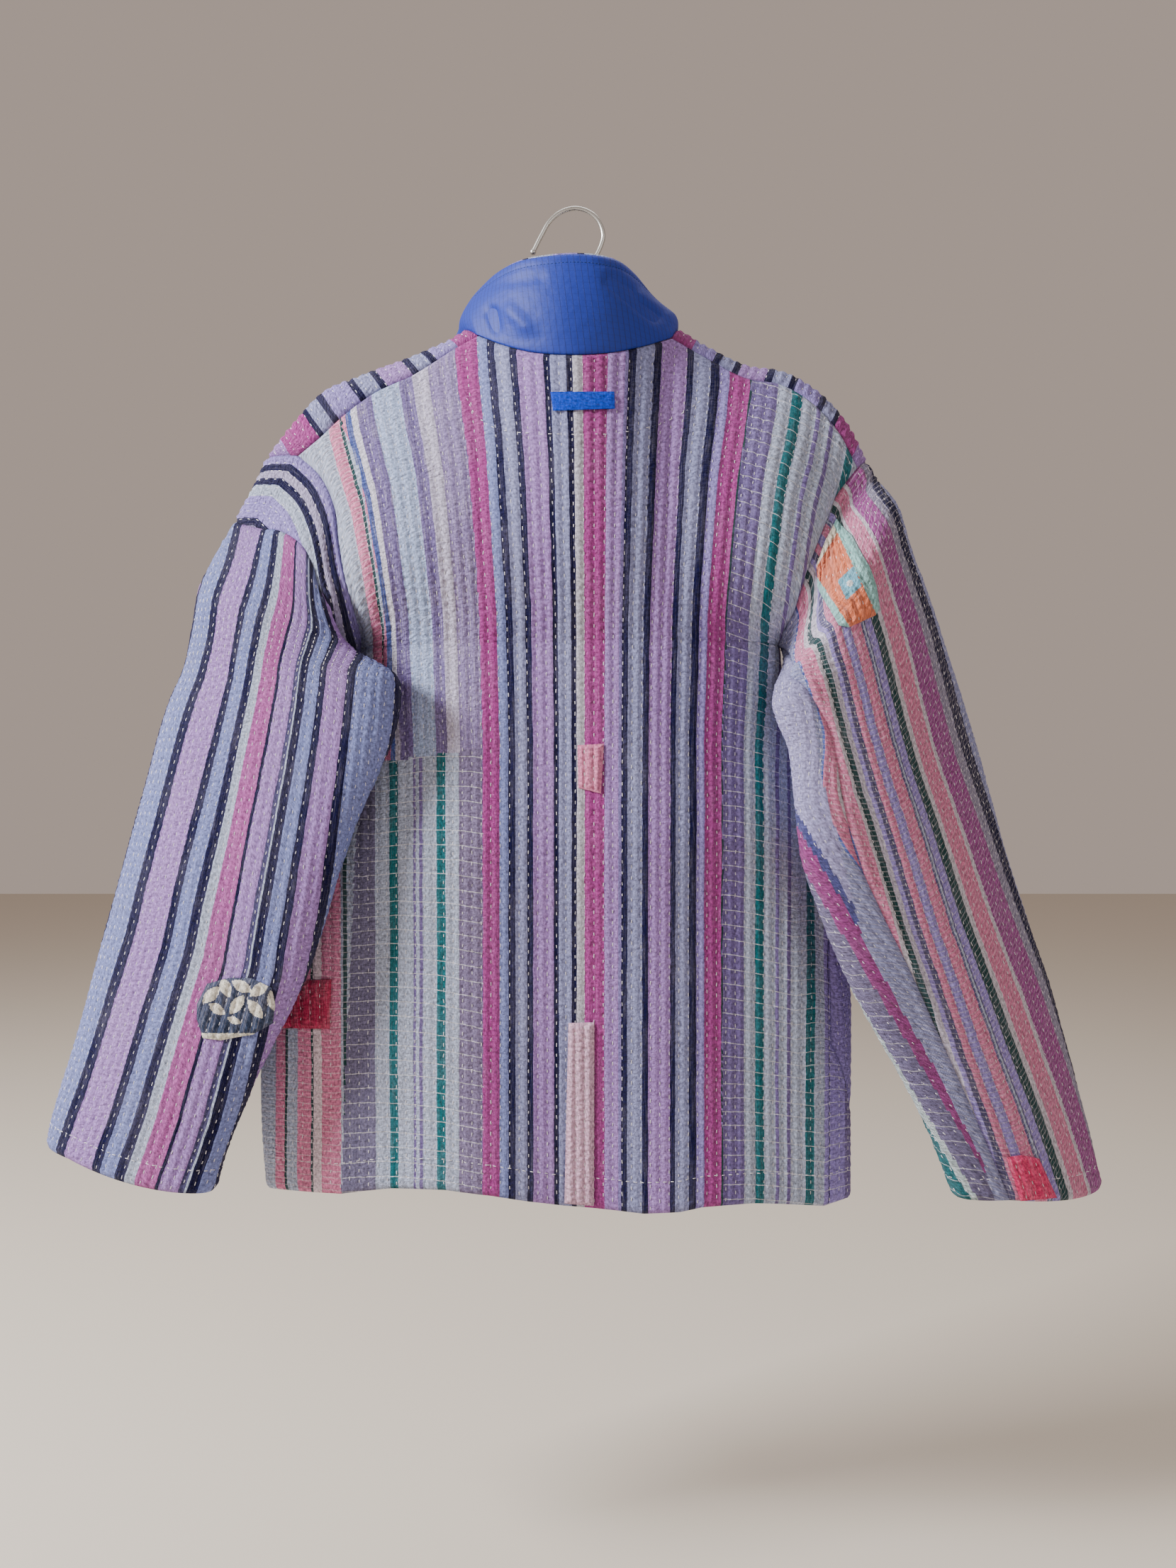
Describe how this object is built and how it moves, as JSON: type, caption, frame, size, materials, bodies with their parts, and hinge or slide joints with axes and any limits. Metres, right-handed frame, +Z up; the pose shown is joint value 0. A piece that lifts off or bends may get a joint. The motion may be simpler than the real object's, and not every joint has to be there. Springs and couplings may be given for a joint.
{
  "type": "quilted patchwork jacket on hanger",
  "caption": "Unlined quilted patchwork work jacket with a stand-up collar and dropped sleeves, hanging open-hemmed on a plain wooden hanger with a wire hook.",
  "frame": {"origin": "under the bend of the hanger's hook, where it hangs", "axes": "+Z up, the jacket's back faces -Y, +X to the right as the back is looked at"},
  "size_m": [0.8611, 0.2011, 0.8263],
  "materials": {
    "striped_cloth": "matte cloth",
    "blue_ripstop": "matte cloth",
    "label_blue": "matte cloth",
    "pink_cloth": "matte cloth",
    "pale_cloth": "matte cloth",
    "red_cloth": "matte cloth",
    "slate_cloth": "matte cloth",
    "orange_cloth": "matte cloth",
    "steel": "polished wire",
    "wood": "satin varnish"
  },
  "bodies": {
    "root": {"back": "striped_cloth", "front_left": "striped_cloth", "front_right": "striped_cloth", "sleeve_head_left": "striped_cloth", "sleeve_left": "striped_cloth", "sleeve_right": "striped_cloth", "under_collar": "blue_ripstop", "upper_collar": "striped_cloth", "label": "label_blue", "patch_pink_centre": "pink_cloth", "patch_pale_hem": "pale_cloth", "patch_red_side": "red_cloth", "patch_leaf_sleeve": "slate_cloth", "patch_diamond_sleeve": "orange_cloth", "patch_pink_cuff": "pink_cloth", "hanger_arms": "wood", "hanger_hook": "steel"}
  },
  "joints": []
}
